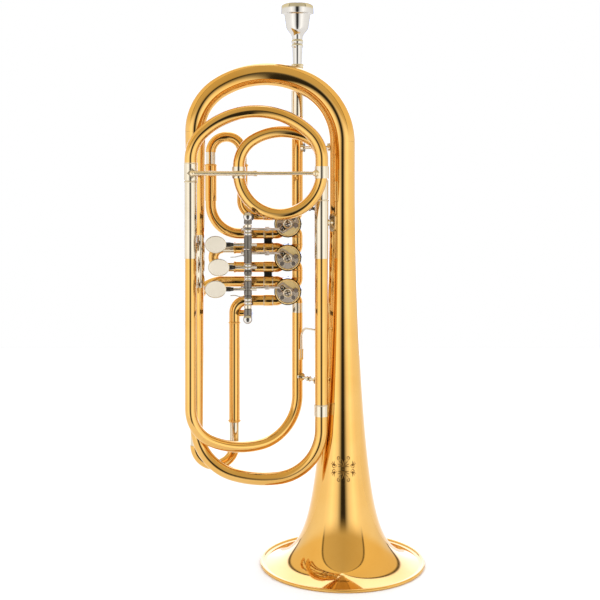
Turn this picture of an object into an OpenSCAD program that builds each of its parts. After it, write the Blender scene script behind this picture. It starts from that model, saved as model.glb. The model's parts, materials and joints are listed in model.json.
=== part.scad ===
// Rotary-valve flugelhorn standing on its bell. Units are millimetres.
// Origin: centre of the bell mouth. +Z runs up the bell axis, -Y is the side with the finger levers.

/* [Bell] */
// Outside diameter of the bell rim
bell_rim_d = 152; // [146:0.5:158]
// Height of the seam where the bell tail meets the main bow
bell_h = 388; // [386:0.5:389]
// Thickness of the bell sheet
bell_wall = 0.7; // [0.6:0.05:0.9]
// Length over which the flare opens up
flare_len = 5.5; // [5:0.1:6]
// Power of the flare curve
flare_power = 0.388; // [0.38:0.002:0.396]

/* [Tubing] */
// Outside diameter of the valve tubing
tube_d = 10.2; // [10:0.1:10.4]
// Outside diameter of the inner slide tubes
inner_d = 9.3; // [9.2:0.05:9.3]
// Wall of every tube
tube_wall = 0.42; // [0.35:0.01:0.42]
// Outside diameter of the main left leg
left_leg_d = 11.3; // [11.1:0.1:11.5]
// Outside diameter of the main right leg
right_leg_d = 12.4; // [12.2:0.1:12.6]

/* [Valves] */
// Distance between neighbouring valve axes
valve_pitch = 31.3; // [31:0.1:31.6]
// Radius of the rotor barrel
rotor_r = 10.5; // [10.4:0.05:10.5]
// Running gap around the rotor barrel
rotor_gap = 0.04; // [0.03:0.01:0.06]
// Radius at which the crank pin turns
crank_r = 6.6; // [6.4:0.1:6.8]

/* [Levers] */
// Radius of the lever axle
axle_r = 1.5; // [1.4:0.05:1.6]
// Width of a touch piece
touch_w = 18.9; // [17:0.1:19.5]
// Height of a touch piece
touch_h = 14.6; // [13:0.1:15.5]

/* [Mouthpiece] */
// Outside diameter of the mouthpiece rim
rim_d = 31.6; // [28:0.1:32]
// Throat bore of the mouthpiece
throat_d = 4.4; // [4:0.1:5]

/* [Hidden] */
$fn = 48;
e = 0.01;
rim_r = bell_rim_d / 2;
bead_r = 1.6;

// valve section: port plane, valve axes and the vertical line of the main tubing
py = 13;
vx = -50.4;
vz2 = 281.2;
vz = [vz2 + valve_pitch, vz2, vz2 - valve_pitch];
port_off = 8.8;
stub_bend = 6;
stub_from = port_off - stub_bend * (1 - cos(45));
stub_end = stub_from + stub_bend * sin(45);
mx = vx + port_off;
tr = tube_d / 2;
ti = tr - tube_wall;
ir = inner_d / 2;
ii = ir - tube_wall;

// main tubing, seen from above: [x, y] of each upright leg
left_leg = [-136.9, -29];
right_leg = [-19.8, -20];
tune_r = [-19.8, -33];
coil_l = [-94, -26.5];
branch_lo = [-133.4, -12.5];
branch_hi = [-134.8, -12.5];

// heights where the bows start: main bow and outer bow at the left branch, outer bow at the right branch,
// inner bow at the left leg and at the exit tube
branch_z = 396;
bottom_z = 129.1;
bottom_zr = 127.3;
bottom_seam = 144;
inner_z = 147.3;
inner_zr = 152;
tune_z = 369.5;
coil_z = 358.4;

first_l = -122.7;
first_r = -93.2;
third_l = -137.2;
third_r = -100.6;

ax = -85.3;
ay = -36;
arm = 26;
swing = 21;

brass = [0.85, 0.62, 0.22];
nickel = [0.86, 0.84, 0.76];
silver = [0.88, 0.88, 0.9];
steel = [0.6, 0.6, 0.62];
cork = [0.6, 0.42, 0.26];

// ---------- helpers ----------

// upright tube from z0 to z1
module vtube(x, y, z0, z1, ro, ri) {
    translate([x, y, z0]) difference() {
        cylinder(h = z1 - z0, r = ro);
        translate([0, 0, -1]) cylinder(h = z1 - z0 + 2, r = ri);
    }
}

// tube lying along X from x0 to x1
module htube(x0, x1, y, z, ro, ri) {
    translate([x0, y, z]) rotate([0, 90, 0]) difference() {
        cylinder(h = x1 - x0, r = ro);
        translate([0, 0, -1]) cylinder(h = x1 - x0 + 2, r = ri);
    }
}

// bent tube in an upright plane turned t degrees about Z; angles run from +X towards +Z
module arc(c, t, R, ro, ri, a0, a) {
    translate(c) rotate([0, 0, t]) rotate([90, 0, 0]) rotate([0, 0, a0])
        rotate_extrude(angle = a) translate([R, 0]) difference() {
            circle(ro);
            if (ri > 0) circle(ri);
        }
}

// half-round bow between two upright legs seen from above at a (left) and b (right)
module half_bow(a, b, z, ro, ri, up) {
    d = b - a;
    arc([(a[0] + b[0]) / 2, (a[1] + b[1]) / 2, z], atan2(d[1], d[0]), norm(d) / 2, ro, ri, up ? 0 : 180, 180);
}

// raised ring round an upright tube, and one round a tube along X
module vbead(x, y, z, r, w) {
    translate([x, y, z]) rotate_extrude() translate([r, 0]) circle(w);
}

// straight round bar between two points
module bar(p, q, r, r2 = -1) {
    d = q - p;
    translate(p) rotate([0, acos(d[2] / norm(d)), atan2(d[1], d[0])])
        cylinder(h = norm(d), r1 = r, r2 = r2 < 0 ? r : r2);
}

// soldered stay: bar with a collar in the middle and round feet
module stay(p, q, r, foot) {
    u = (q - p) / norm(q - p);
    bar(p, q, r);
    bar((p + q) / 2 - u * 1.4, (p + q) / 2 + u * 1.4, r * 1.7);
    bar(p, p + u * 2.4, foot);
    bar(q - u * 2.4, q, foot);
}

// plain rod used to trim a foot to the tube it sits on
module upright(x, y, r) { translate([x, y, -10]) cylinder(h = 560, r = r); }

// ---------- bell ----------

function bell_r(z) = rim_r * pow(1 + z / flare_len, -flare_power) - 3.7 * pow(sin(180 * z / 560), 2);
function bell_slope(z) = (bell_r(z + 0.05) - bell_r(z - 0.05)) / 0.1;
function bell_in(z) = bell_r(z) - bell_wall * sqrt(1 + pow(bell_slope(z), 2));
bell_n = 34;
function bell_zi(i) = 0.5 + (bell_h - 0.5) * pow(i / bell_n, 2.3);

module bell() color(brass) {
    rotate_extrude($fn = 120) difference() {
        union() {
            polygon(concat(
                [for (i = [0 : bell_n]) [bell_r(bell_zi(i)), bell_zi(i)]],
                [for (i = [bell_n : -1 : 0]) [bell_in(bell_zi(i)), bell_zi(i)]]));
            intersection() {
                translate([rim_r - bead_r, 1.4]) circle(bead_r);
                translate([rim_r - 5, 0]) square([8, 8]);
            }
        }
        translate([rim_r - bead_r, 1.4]) circle(1.02);
    }
}

module bell_rim_wire() color(steel)
    translate([0, 0, 1.4]) rotate_extrude() translate([rim_r - bead_r, 0]) circle(1);

// ---------- bows bent on three radii ----------

// c = [half width, left radius, left height, right radius, right height, apex height]
// gives [centre offset, crown radius, left share, right share] of the crown arc
function crown(c) = let (
        ul = c[0] - c[1], ur = c[0] - c[3],
        kl = c[5] - c[2] - c[1], kr = c[5] - c[4] - c[3],
        sl = c[5] - c[2] + c[1], sr = c[5] - c[4] + c[3],
        q = 1 / kl - 1 / kr, b = 2 * (ul / kl + ur / kr), k = ul * ul / kl - ur * ur / kr + sl - sr,
        a = abs(q) < 1e-9 ? -k / b : (-b + sqrt(b * b - 4 * q * k)) / (2 * q),
        r = (pow(a + ul, 2) / kl + sl) / 2)
    [a, r, atan2(ul + a, c[2] - c[5] + r), atan2(ur - a, c[4] - c[5] + r)];

// point on the centre line for a turning angle running from 0 at the left end to 180 at the right end
function bow_pt(c, w, t) =
    t < 90 - w[2] ? [-(c[0] - c[1]) - c[1] * cos(t), c[2] + c[1] * sin(t)] :
    t < 90 + w[3] ? [w[0] - w[1] * cos(t), c[5] - w[1] + w[1] * sin(t)] :
    [(c[0] - c[3]) - c[3] * cos(t), c[4] + c[3] * sin(t)];

bow_m = 24;
bow_n = 30;
function bow_ring(c, w, t, r, drop = 0) = [for (k = [0 : bow_m - 1])
    let (p = bow_pt(c, w, t), a = 360 * k / bow_m)
    [p[0] - r * cos(a) * cos(t), r * sin(a), p[1] - drop + r * cos(a) * sin(t)]];

// tube wall as one closed skin: out along the outside, back along the bore
// ends = straight lengths below the bend, [left, right]
module bow_tube(c, ra, rb, wall, ends) {
    w = crown(c);
    stations = concat(ends[0] > 0 ? [[0, ends[0]]] : [], [for (i = [0 : bow_n]) [180 * i / bow_n, 0]],
        ends[1] > 0 ? [[180, ends[1]]] : []);
    n = len(stations);
    pts = concat(
        [for (q = stations) each bow_ring(c, w, q[0], ra + (rb - ra) * q[0] / 180, q[1])],
        [for (i = [n - 1 : -1 : 0]) let (q = stations[i])
            each bow_ring(c, w, q[0], ra + (rb - ra) * q[0] / 180 - wall, q[1])]);
    sides = [for (i = [0 : 2 * n - 1], k = [0 : bow_m - 1])
        let (j = (i + 1) % (2 * n), l = (k + 1) % bow_m)
        [i * bow_m + k, j * bow_m + k, j * bow_m + l, i * bow_m + l]];
    polyhedron(pts, sides);
}

// such a bow between two legs seen from above at a (left) and b (right)
module bent_bow(a, b, c, ra, rb, wall, up = true, ends = [0, 0]) {
    d = b - a;
    translate([(a[0] + b[0]) / 2, (a[1] + b[1]) / 2, 0]) rotate([0, 0, atan2(d[1], d[0])])
        if (up) bow_tube(c, ra, rb, wall, ends);
        else mirror([0, 0, 1]) bow_tube([c[0], c[1], -c[2], c[3], -c[4], -c[5]], ra, rb, wall, ends);
}

// ---------- main bow ----------

tail_r = bell_r(bell_h);
branch_top_r = 9.2;

module main_bow() color(brass)
    bent_bow(branch_hi, [0, 0], [norm(branch_hi) / 2, 49, branch_z, 60, bell_h, 450],
        branch_top_r, tail_r, bell_wall);

// ---------- main branches ----------

module left_branch() color(brass) difference() {
    bar(concat(branch_lo, bottom_z), concat(branch_hi, branch_z), 5.9, branch_top_r);
    bar(concat(branch_lo, bottom_z) - [0, 0, e], concat(branch_hi, branch_z) + [0, 0, e],
        5.9 - 0.6, branch_top_r - 0.7);
}

function on_branch(z) = let (s = (z - bottom_z) / (branch_z - bottom_z))
    [branch_lo[0] + s * (branch_hi[0] - branch_lo[0]), branch_lo[1] + s * (branch_hi[1] - branch_lo[1]), z];
function branch_r(z) = 5.9 + (branch_top_r - 5.9) * (z - bottom_z) / (branch_z - bottom_z);

module left_branch_sleeve() color(nickel) difference() {
    bar(on_branch(254.6), on_branch(302.5), branch_r(254.6) + 0.5, branch_r(302.5) + 0.5);
    bar(on_branch(254), on_branch(303), branch_r(254) + 0.02, branch_r(303) + 0.02);
}

module outer_bottom_bow() color(brass) bent_bow(branch_lo, right_leg,
    [norm(right_leg - branch_lo) / 2, 45.9, bottom_z, 45.4, bottom_zr, 81.3], 5.9, 5.85, 0.6, false,
    [0, bottom_seam - bottom_zr]);

module right_branch() color(brass)
    vtube(right_leg[0], right_leg[1], bottom_seam, 281.2, 5.85, 5.3);

module tuning_receiver_right() color(nickel) {
    difference() {
        union() {
            translate([right_leg[0], right_leg[1], 281.2]) cylinder(h = 53, r = right_leg_d / 2);
            vbead(right_leg[0], right_leg[1], 333.6, right_leg_d / 2, 0.6);
        }
        translate([right_leg[0], right_leg[1], 280]) cylinder(h = 56, r = right_leg_d / 2 - 0.55);
    }
}

module tuning_receiver_left() color(nickel) {
    difference() {
        union() {
            translate([left_leg[0], left_leg[1], 281.6]) cylinder(h = 69.4, r = left_leg_d / 2);
            vbead(left_leg[0], left_leg[1], 350, left_leg_d / 2 - 0.1, 0.9);
        }
        translate([left_leg[0], left_leg[1], 280]) cylinder(h = 73, r = left_leg_d / 2 - 0.5);
    }
}

// lower main bow with the plain tube that rises from it to the left slide receiver
module inner_bottom_bow() color(brass) bent_bow(left_leg, [mx, py],
    [norm([mx, py] - left_leg) / 2, 34.1, inner_z, 43.2, inner_zr, 108.3], tr, tr, tube_wall, false,
    [285 - inner_z, 0]);

module exit_tube() color(brass)
    vtube(mx, py, inner_zr, vz[2] - stub_end - 9, tr, ti);

// nickel sleeves over three soldered joints: leadpipe, valve exit, right branch
module tube_ferrules() color(nickel) {
    vtube(mx, py, 413, 438.3, 5.95, 5.51);
    difference() {
        vtube(mx, py, vz[2] - stub_end - 9, vz[2] - stub_end, tr + 0.2, ti);
        drums();
    }
    difference() {
        union() {
            translate([right_leg[0], right_leg[1], 139]) cylinder(h = 10.8, r = 6.4);
            vbead(right_leg[0], right_leg[1], 149, 6.3, 0.5);
        }
        translate([right_leg[0], right_leg[1], 138]) cylinder(h = 13, r = 5.86);
    }
}

// ---------- main tuning slide ----------

tb_r = 5.7;

module tuning_slide_bow() color(brass) bent_bow(left_leg, tune_r,
    [norm(tune_r - left_leg) / 2, 33, tune_z, 33, tune_z, tune_z + 43.5], tb_r, tb_r, 0.6, true,
    [tune_z - 360, tune_z - coil_z]);

// two bent tubes, butted inside the ferrule at the left of the coil
module tuning_slide_coil() color(brass) {
    ra = norm(tune_r - coil_l) / 2;
    rb = norm(right_leg - coil_l) / 2;
    za = coil_z - e;
    zb = coil_z + e;
    bent_bow(coil_l, tune_r, [ra, 0.9 * ra, za, 0.9 * ra, za, za - ra], 5.3, 5.3, 0.5, false);
    bent_bow(coil_l, right_leg, [rb, 28, zb + 6, 22, zb + 12, zb + rb], 5.3, 5.3, 0.5, true,
        [6, zb + 12 - 346]);
}

module tuning_slide_ferrules() color(nickel) {
    difference() {
        union() {
            translate([left_leg[0], left_leg[1], 351.2]) cylinder(h = 15.9, r = 6.2);
            vbead(left_leg[0], left_leg[1], 366.3, 6.1, 0.5);
        }
        translate([left_leg[0], left_leg[1], 359.9]) cylinder(h = 9, r = 5.71);
        translate([left_leg[0], left_leg[1], 350]) cylinder(h = 11, r = 5.11);
    }
    difference() {
        translate([tune_r[0], tune_r[1], 352.8]) cylinder(h = 10.8, r = 6.4);
        translate([tune_r[0], tune_r[1], coil_z]) cylinder(h = 9, r = 5.71);
        half_bow(coil_l, tune_r, coil_z, 5.32, 0, false);
    }
    vtube(coil_l[0], coil_l[1], 353.2, 363.6, 6.15, 5.72);
    vtube(right_leg[0], right_leg[1], 335, 352, 6.2, 5.62);
}

module tuning_inner_legs() color(nickel) {
    vtube(left_leg[0], left_leg[1], 288, 359.8, 5.1, 4.6);
    vtube(right_leg[0], right_leg[1], 288, 345.9, 5.6, 5.05);
}

module tuning_slide_brace() color(nickel) difference() {
    union() {
        bar([-134, -37.2, 357.4], [-78.4, -37.6, 357.4], 2.1);
        bar([-78.4, -37.6, 357.4], [-26, -38, 357.4], 1.6);
        bar([-80, -37.6, 357.4], [-77, -37.6, 357.4], 2.6);
        translate([-134.4, -37.2, 357.4]) sphere(2.6);
        translate([-134.6, -36.6, 357.4]) rotate([0, 45, 0]) cube([6.4, 3.4, 6.4], center = true);
        translate([-25.4, -38, 357.4]) sphere(2.8);
        bar([-25.4, -38, 357.4], [-21.8, -35.4, 357.4], 2.2, 3.4);
    }
    upright(left_leg[0], left_leg[1], 6.22);
    upright(tune_r[0], tune_r[1], 6.42);
}

// ---------- mouthpipe ----------

module leadpipe() color(brass) difference() {
    vtube(mx, py, vz[0] + stub_end, 437, 5.4, 4.75);
    drums();
}

module mouthpiece_receiver() color(nickel) {
    translate([mx, py, 437]) difference() {
        union() {
            cylinder(h = 24.8, r = 5.5);
            translate([0, 0, 22.8]) cylinder(h = 2, r = 6.1);
            translate([0, 0, 21]) cylinder(h = 1.2, r = 5.9);
        }
        translate([0, 0, -1]) cylinder(h = 9, r = 4.75);
        translate([0, 0, 7.9]) cylinder(h = 17, r1 = 4.16, r2 = 4.5);
    }
}

// smooth step between two heights
function ease(a, b, z) = let (s = min(1, max(0, (z - a) / (b - a)))) s * s * (3 - 2 * s);
function cup_r(z) = 5.3 + 5.7 * ease(0, 7.4, z) + 1.7 * ease(5, 24, z) * 0.95;

module mouthpiece() color(silver) translate([mx, py, 446]) rotate_extrude() difference() {
    union() {
        polygon(concat([[0, 0], [4.14, 0]], [[4.47, 16]], [[5.0, 31.6], [5.75, 32.2], [5.75, 34.2],
            [5.2, 35], [5.75, 35.8], [5.75, 38.2], [5.2, 39.2], [5.3, 41]],
            [for (z = [1 : 1.5 : 20.5]) [cup_r(z), 41 + z]],
            [[rim_d / 2 - 0.9, 62], [rim_d / 2, 62.8], [rim_d / 2, 69.5]], [[0, 69.5]]));
        translate([rim_d / 2 - 2.7, 69.3]) circle(2.7);
        translate([0, 68]) square([rim_d / 2 - 2.7, 4]);
    }
    polygon(concat([[0, -1], [3.5, -1]], [[throat_d / 2, 40], [throat_d / 2, 44]],
        [for (z = [0 : 2 : 24]) [throat_d / 2 + (9.6 - throat_d / 2) * sqrt(ease(-2, 30, z)) , 45 + z]],
        [[10.1, 73], [0, 73]]));
}

// ---------- valves ----------

// angle above the level line of the two stop buffers
cork_a = 10;

// the outsides of the valve casings, cut out of every tube that is soldered against one
module drums() for (z = vz) translate([vx, py + 12.01, z]) rotate([90, 0, 0]) cylinder(h = 24.02, r = 12.505);

// one curved port of a casing, bore or outside, in the port plane; q picks the quarter
module port(q, r) {
    mirror([q == 1 || q == 2 ? 1 : 0, 0, 0]) mirror([0, 0, q > 1 ? 1 : 0])
        if (q == 0 || q == 3)
            arc([stub_from + stub_bend * (1 - cos(45)) - stub_bend, 0, stub_end], 0, stub_bend, r, 0, -45, 45);
        else
            arc([stub_end, 0, stub_from + stub_bend * (1 - cos(45)) - stub_bend], 0, stub_bend, r, 0, 90, 45);
}

module ports(r) for (q = [0 : 3]) port(q, r);

module casing(i) translate([vx, py, vz[i]]) difference() {
    union() {
        translate([0, 12, 0]) rotate([90, 0, 0]) cylinder(h = 24, r = 12.5);
        ports(tr);
    }
    translate([0, 10, 0]) rotate([90, 0, 0]) cylinder(h = 20, r = rotor_r + rotor_gap);
    translate([0, 13, 0]) rotate([90, 0, 0]) cylinder(h = 3.01, r = 11.2);
    rotate([90, 0, 0]) cylinder(h = 20, r = 3.04);
    ports(ti);
}

module valve_casing_1() color(brass) casing(0);
module valve_casing_2() color(brass) casing(1);
module valve_casing_3() color(brass) casing(2);

// barrel with two curved passages and a spindle at each end
module rotor(i) translate([vx, py, vz[i]]) difference() {
    union() {
        translate([0, 9.9, 0]) rotate([90, 0, 0]) cylinder(h = 19.8, r = rotor_r);
        rotate([90, 0, 0]) cylinder(h = 17.2, r = 3);
        translate([0, 13.5, 0]) rotate([90, 0, 0]) cylinder(h = 10, r = 2.6);
    }
    for (s = [-1, 1]) translate([s * rotor_r * sqrt(2), 0, 0]) rotate([90, 0, 0])
        rotate_extrude() translate([rotor_r, 0]) circle(3.7);
}

module rotor_1() color(brass) rotor(0);
module rotor_2() color(brass) rotor(1);
module rotor_3() color(brass) rotor(2);

module valve_front_plates() color(nickel) for (i = [0 : 2]) translate([vx, py - 12, vz[i]]) {
    s = i == 0 ? -1 : 1;
    rotate([90, 0, 0]) difference() {
        union() {
            cylinder(h = 1.9, r = 11);
            cylinder(h = 1.2, r = 11.5);
        }
        translate([0, 0, -1]) cylinder(h = 5, r = 3.04);
        for (a = [cork_a, 180 - cork_a, -45, -135]) rotate([0, 0, s * a])
            translate([7.4, 0, 0.7]) cylinder(h = 3, r = 2.05);
    }
}

// two cork buffers per valve, seated in the plate where the crank stops
module stop_corks() color(cork) for (i = [0 : 2]) translate([vx, py - 12, vz[i]]) {
    s = i == 0 ? -1 : 1;
    rotate([90, 0, 0]) for (a = [cork_a, 180 - cork_a]) rotate([0, 0, s * a]) translate([7.4, 0, 0.7])
        cylinder(h = 3.6, r = 2);
}

// hub clamped on the spindle, arm and pin; drawn at rest
module crank(i) translate([vx, py - 14, vz[i]]) rotate([90, 0, 0]) {
    a = i == 0 ? -135 : 135;
    difference() {
        union() {
            cylinder(h = 3.6, r = 4.1);
            translate([0, 0, 3.6]) cylinder(h = 0.7, r = 3.3);
            rotate([0, 0, a]) translate([0, -1.5, 0.2]) cube([crank_r, 3, 2.6]);
            rotate([0, 0, a]) translate([crank_r, 0, 0.2]) cylinder(h = 2.6, r = 2.2);
            rotate([0, 0, a]) translate([crank_r, 0, 1]) cylinder(h = 11, r = 1.2);
        }
        translate([0, 0, -1]) cylinder(h = 4.2, r = 3);
    }
    translate([0, 0, 4.2]) difference() {
        cylinder(h = 1.2, r = 2.3);
        for (k = [0, 90]) rotate([0, 0, k + 20]) translate([-3, -0.3, 0.6]) cube([6, 0.6, 1]);
    }
}

module crank_1() color(nickel) crank(0);
module crank_2() color(nickel) crank(1);
module crank_3() color(nickel) crank(2);

module rear_bearing_plates() color(brass) for (i = [0 : 2]) translate([vx, py + 10.02, vz[i]])
    rotate([-90, 0, 0]) difference() {
        cylinder(h = 1.9, r = 11.18);
        translate([0, 0, -1]) cylinder(h = 4, r = 2.64);
    }

module rear_caps() color(brass) for (i = [0 : 2]) translate([vx, py + 12, vz[i]])
    rotate([-90, 0, 0]) difference() {
        union() {
            cylinder(h = 3.4, r = 12.6);
            translate([0, 0, 3.4]) cylinder(h = 1.2, r1 = 12.4, r2 = 11.2);
            for (k = [0 : 15]) rotate([0, 0, k * 22.5]) translate([12.6, 0, 0.3]) cylinder(h = 2.8, r = 0.5);
        }
        translate([0, 0, -e]) cylinder(h = 2.6, r = 10.6);
    }

module valve_knuckles() color(brass) for (i = [0, 1]) difference() {
    union() {
        translate([mx, py, vz[i + 1] + stub_end]) cylinder(h = valve_pitch - 2 * stub_end, r = tr);
        for (s = [0.9, valve_pitch - 2 * stub_end - 0.9]) vbead(mx, py, vz[i + 1] + stub_end + s, tr, 0.45);
    }
    translate([mx, py, vz[i + 1]]) cylinder(h = valve_pitch, r = ti);
    drums();
}

// ---------- valve slides ----------

sx = vx - stub_end;

// tube along X that is soldered to a casing at its right end
module port_tube(x0, z) difference() {
    htube(x0, sx, py, z, tr, ti);
    drums();
}

// ferrule round a tube along X
module hring(x0, x1, z) htube(x0, x1, py, z, tr + 0.45, tr - 0.2);

module first_slide_tubes() color(brass) {
    zl = vz[0] - port_off;
    zu = vz[0] + port_off;
    port_tube(-95.5, zl);
    arc([-95.5, py, zl + 27.2], 0, 27.2, tr, ti, 180, 90);
    vtube(first_l, py, zl + 27.2, 368.6, tr, ti);
    difference() {
        union() {
            translate([first_l, py, 334]) cylinder(h = 34.6, r = tr + 0.45);
            vbead(first_l, py, 367.8, tr + 0.4, 0.7);
        }
        translate([first_l, py, 333]) cylinder(h = 37, r = tr - 0.1);
    }
    port_tube(-80.2, zu);
    arc([-80.2, py, zu + 13], 0, 13, tr, ti, 180, 90);
    vtube(first_r, py, zu + 13, 368.6, tr, ti);
    difference() {
        vbead(first_r, py, 367.8, tr + 0.1, 0.8);
        translate([first_r, py, 333]) cylinder(h = 37, r = tr - 0.1);
    }
    hring(-73.2, -64.1, zl);
    hring(-73.2, -64.1, zu);
}

module first_slide_legs() color(nickel)
    for (x = [first_l, first_r]) vtube(x, py, 338, 379.7, ir, ii);

module first_slide_bow() color(brass)
    half_bow([first_l, py], [first_r, py], 379.72, tr - 0.15, ii, true);

module second_slide_tubes() color(brass) for (s = [-1, 1]) {
    z = vz[1] + s * port_off;
    port_tube(-101, z);
    hring(-73.2, -64.1, z);
    hring(-101, -99.4, z);
}

module second_slide_legs() color(nickel) for (s = [-1, 1])
    htube(-111.4, -80, py, vz[1] + s * port_off, ir, ii);

module second_slide_bow() color(brass)
    arc([-111.42, py, vz[1]], 0, port_off, tr - 0.15, ii, 90, 180);

module third_slide_tubes() color(brass) {
    zl = vz[2] - port_off;
    zu = vz[2] + port_off;
    port_tube(third_l + 25, zu);
    arc([third_l + 25, py, zu - 25], 0, 25, tr, ti, 90, 90);
    vtube(third_l, py, 129.9, zu - 25, tr, ti);
    port_tube(third_r + 12, zl);
    arc([third_r + 12, py, zl - 12], 0, 12, tr, ti, 90, 90);
    vtube(third_r, py, 127, zl - 12, tr, ti);
    for (p = [[third_l, 130.6], [third_r, 127.8]]) difference() {
        vbead(p[0], py, p[1], tr + 0.4, 0.8);
        translate([p[0], py, 120]) cylinder(h = 20, r = tr - 0.1);
    }
    difference() {
        vbead(third_r, py, 220.2, tr, 0.5);
        translate([third_r, py, 210]) cylinder(h = 20, r = tr - 0.1);
    }
    hring(-73.2, -64.1, zl);
    hring(-73.2, -64.1, zu);
}

module third_slide_legs() color(nickel)
    for (x = [third_l, third_r]) vtube(x, py, 105.12, 185, ir, ii);

module third_slide_bow() color(brass)
    half_bow([third_l, py], [third_r, py], 105.1, tr - 0.15, ii, false);

module slide_spacers() color(steel) for (i = [0, 1]) difference() {
    translate([-69, py, (vz[i] + vz[i + 1]) / 2])
        cube([7.4, 5, valve_pitch - 2 * port_off - 2 * tr + 2.4], center = true);
    for (z = [vz[i] - port_off, vz[i + 1] + port_off])
        translate([-80, py, z]) rotate([0, 90, 0]) cylinder(h = 20, r = tr + 0.46);
}

// ---------- levers ----------

touch_z = [294.2, 274, 254.7];
link_z = [vz[0] - crank_r * sin(45), vz[1] + crank_r * sin(45), vz[2] + crank_r * sin(45)];
hub_z = [[290.4, 312.2], [270.6, 289.6], [249, 263]];
function side(i) = i == 0 ? 1 : -1;

// hub on the axle, touch arm with an oval plate, and link arm with an upright pin; drawn at rest
module lever(i) {
    translate([ax, ay, 0]) difference() {
        union() {
            translate([0, 0, hub_z[i][0]]) cylinder(h = hub_z[i][1] - hub_z[i][0], r = 3.2);
            for (z = [hub_z[i][0], hub_z[i][1] - 1.4]) translate([0, 0, z]) cylinder(h = 1.4, r = 3.6);
            translate([0, -1.4, touch_z[i] - 1.7]) mirror([1, 0, 0]) cube([26, 2.4, 3.4]);
            translate([-8, -1.6, touch_z[i]]) rotate([0, -90, 0]) cylinder(h = 7, r = 2.3);
            translate([-28.5, -0.8, touch_z[i]]) rotate([90, 0, 0]) {
                for (s = [-1, 1]) translate([s * (touch_w - touch_h) / 2, 0, 0]) {
                    cylinder(h = 2.4, r = touch_h / 2);
                    translate([0, 0, 2.4]) cylinder(h = 0.6, r1 = touch_h / 2, r2 = touch_h / 2 - 0.8);
                }
                translate([-(touch_w - touch_h) / 2, -touch_h / 2, 0])
                    cube([touch_w - touch_h, touch_h, 2.4]);
                translate([-(touch_w - touch_h) / 2, 0.8 - touch_h / 2, 2.3])
                    cube([touch_w - touch_h, touch_h - 1.6, 0.7]);
            }
            rotate([0, 0, swing / 2]) {
                translate([-1.6, 0, link_z[i] + side(i) * 2.85 - 1.25]) cube([3.2, arm, 2.5]);
                translate([0, arm, link_z[i] + side(i) * 2.85 - 1.25]) cylinder(h = 2.5, r = 2.6);
                translate([0, arm, link_z[i] + side(i) * 0.4 - 3.4]) cylinder(h = 6.8, r = 1.2);
            }
        }
        translate([0, 0, 200]) cylinder(h = 140, r = axle_r + 0.03);
    }
}

module lever_1() color(steel) lever(0);
module lever_2() color(steel) lever(1);
module lever_3() color(steel) lever(2);

link_y = -10.3;
pin_x = vx - crank_r * cos(45);
eye_x = ax - arm * sin(swing / 2);

// rod with an open eye over the lever pin, a lock nut and a socket on the crank pin
module link(i) difference() {
    union() {
        translate([eye_x, link_y, link_z[i] - 1.1]) cylinder(h = 2.2, r = 3.2);
        bar([eye_x + 2.6, link_y, link_z[i]], [pin_x - 2, link_y, link_z[i]], 1.1);
        bar([-71, link_y, link_z[i]], [-67.2, link_y, link_z[i]], 2);
        translate([pin_x, link_y + 2.4, link_z[i]]) rotate([90, 0, 0]) cylinder(h = 4.8, r = 3);
    }
    translate([eye_x, link_y - 0.1, link_z[i] - 2]) cylinder(h = 4, r = 1.95);
    translate([pin_x, link_y + 4, link_z[i]]) rotate([90, 0, 0]) cylinder(h = 8, r = 1.23);
}

module link_1() color(steel) link(0);
module link_2() color(steel) link(1);
module link_3() color(steel) link(2);

post_z = [319, 228.2];

module lever_axle() color(steel)
    translate([ax, ay, 226.6]) cylinder(h = 94, r = axle_r);

// bracket heads that hold the axle, on stalks soldered to the slide tubing
module axle_posts() color(nickel) for (k = [0, 1]) difference() {
    union() {
        translate([ax, ay + 3.4, post_z[k]]) rotate([90, 0, 0]) cylinder(h = 7.4, r = 3.7);
        translate([ax, ay + 3.4, post_z[k]]) rotate([-90, 0, 0]) cylinder(h = k == 0 ? 42 : 48, r = 2);
        if (k == 0) translate([ax, 4.4, post_z[k]]) rotate([-90, 0, 0]) cylinder(h = 5, r = 3.6);
        if (k == 1) translate([ax, py, post_z[k] - 2]) cylinder(h = 12, r = 2.6);
    }
    translate([ax, ay, post_z[k] - 5]) cylinder(h = 10, r = axle_r + 0.005);
    translate([ax, ay - 1, post_z[k]]) rotate([90, 0, 0]) cylinder(h = 8, r = 1);
    for (z = [vz[0] + port_off, vz[2] - port_off])
        translate([-100, py, z]) rotate([0, 90, 0]) cylinder(h = 40, r = tr + 0.005);
}

module axle_post_screws() color(steel) for (k = [0, 1]) translate([ax, ay - 4, post_z[k]]) rotate([90, 0, 0])
    difference() {
        union() {
            cylinder(h = 1.3, r = 2.3);
            translate([0, 0, -2.3]) cylinder(h = 3, r = 0.99);
        }
        for (a = [0, 90]) rotate([0, 0, a + 12]) translate([-1.6, -0.25, 0.6]) cube([3.2, 0.5, 1]);
    }

// wound return springs round the axle between the lever hubs
spring_z = [[313, 315.2], [264, 269.6], [237, 248]];
module spring(z0, z1, turns) {
    m = 8;
    n = turns * 14;
    w = 0.4;
    R = 2.7;
    pts = [for (i = [0 : n]) let (a = 360 * turns * i / n, z = z0 + w + (z1 - z0 - 2 * w) * i / n)
        each [for (k = [0 : m - 1]) let (b = 360 * k / m)
            [(R + w * cos(b)) * cos(a), (R + w * cos(b)) * sin(a), z + w * sin(b)]]];
    sides = [for (i = [0 : n - 1], k = [0 : m - 1])
        [i * m + k, (i + 1) * m + k, (i + 1) * m + (k + 1) % m, i * m + (k + 1) % m]];
    translate([ax, ay, 0])
        polyhedron(pts, concat([[for (k = [0 : m - 1]) k]], sides, [[for (k = [m - 1 : -1 : 0]) n * m + k]]));
}

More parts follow.
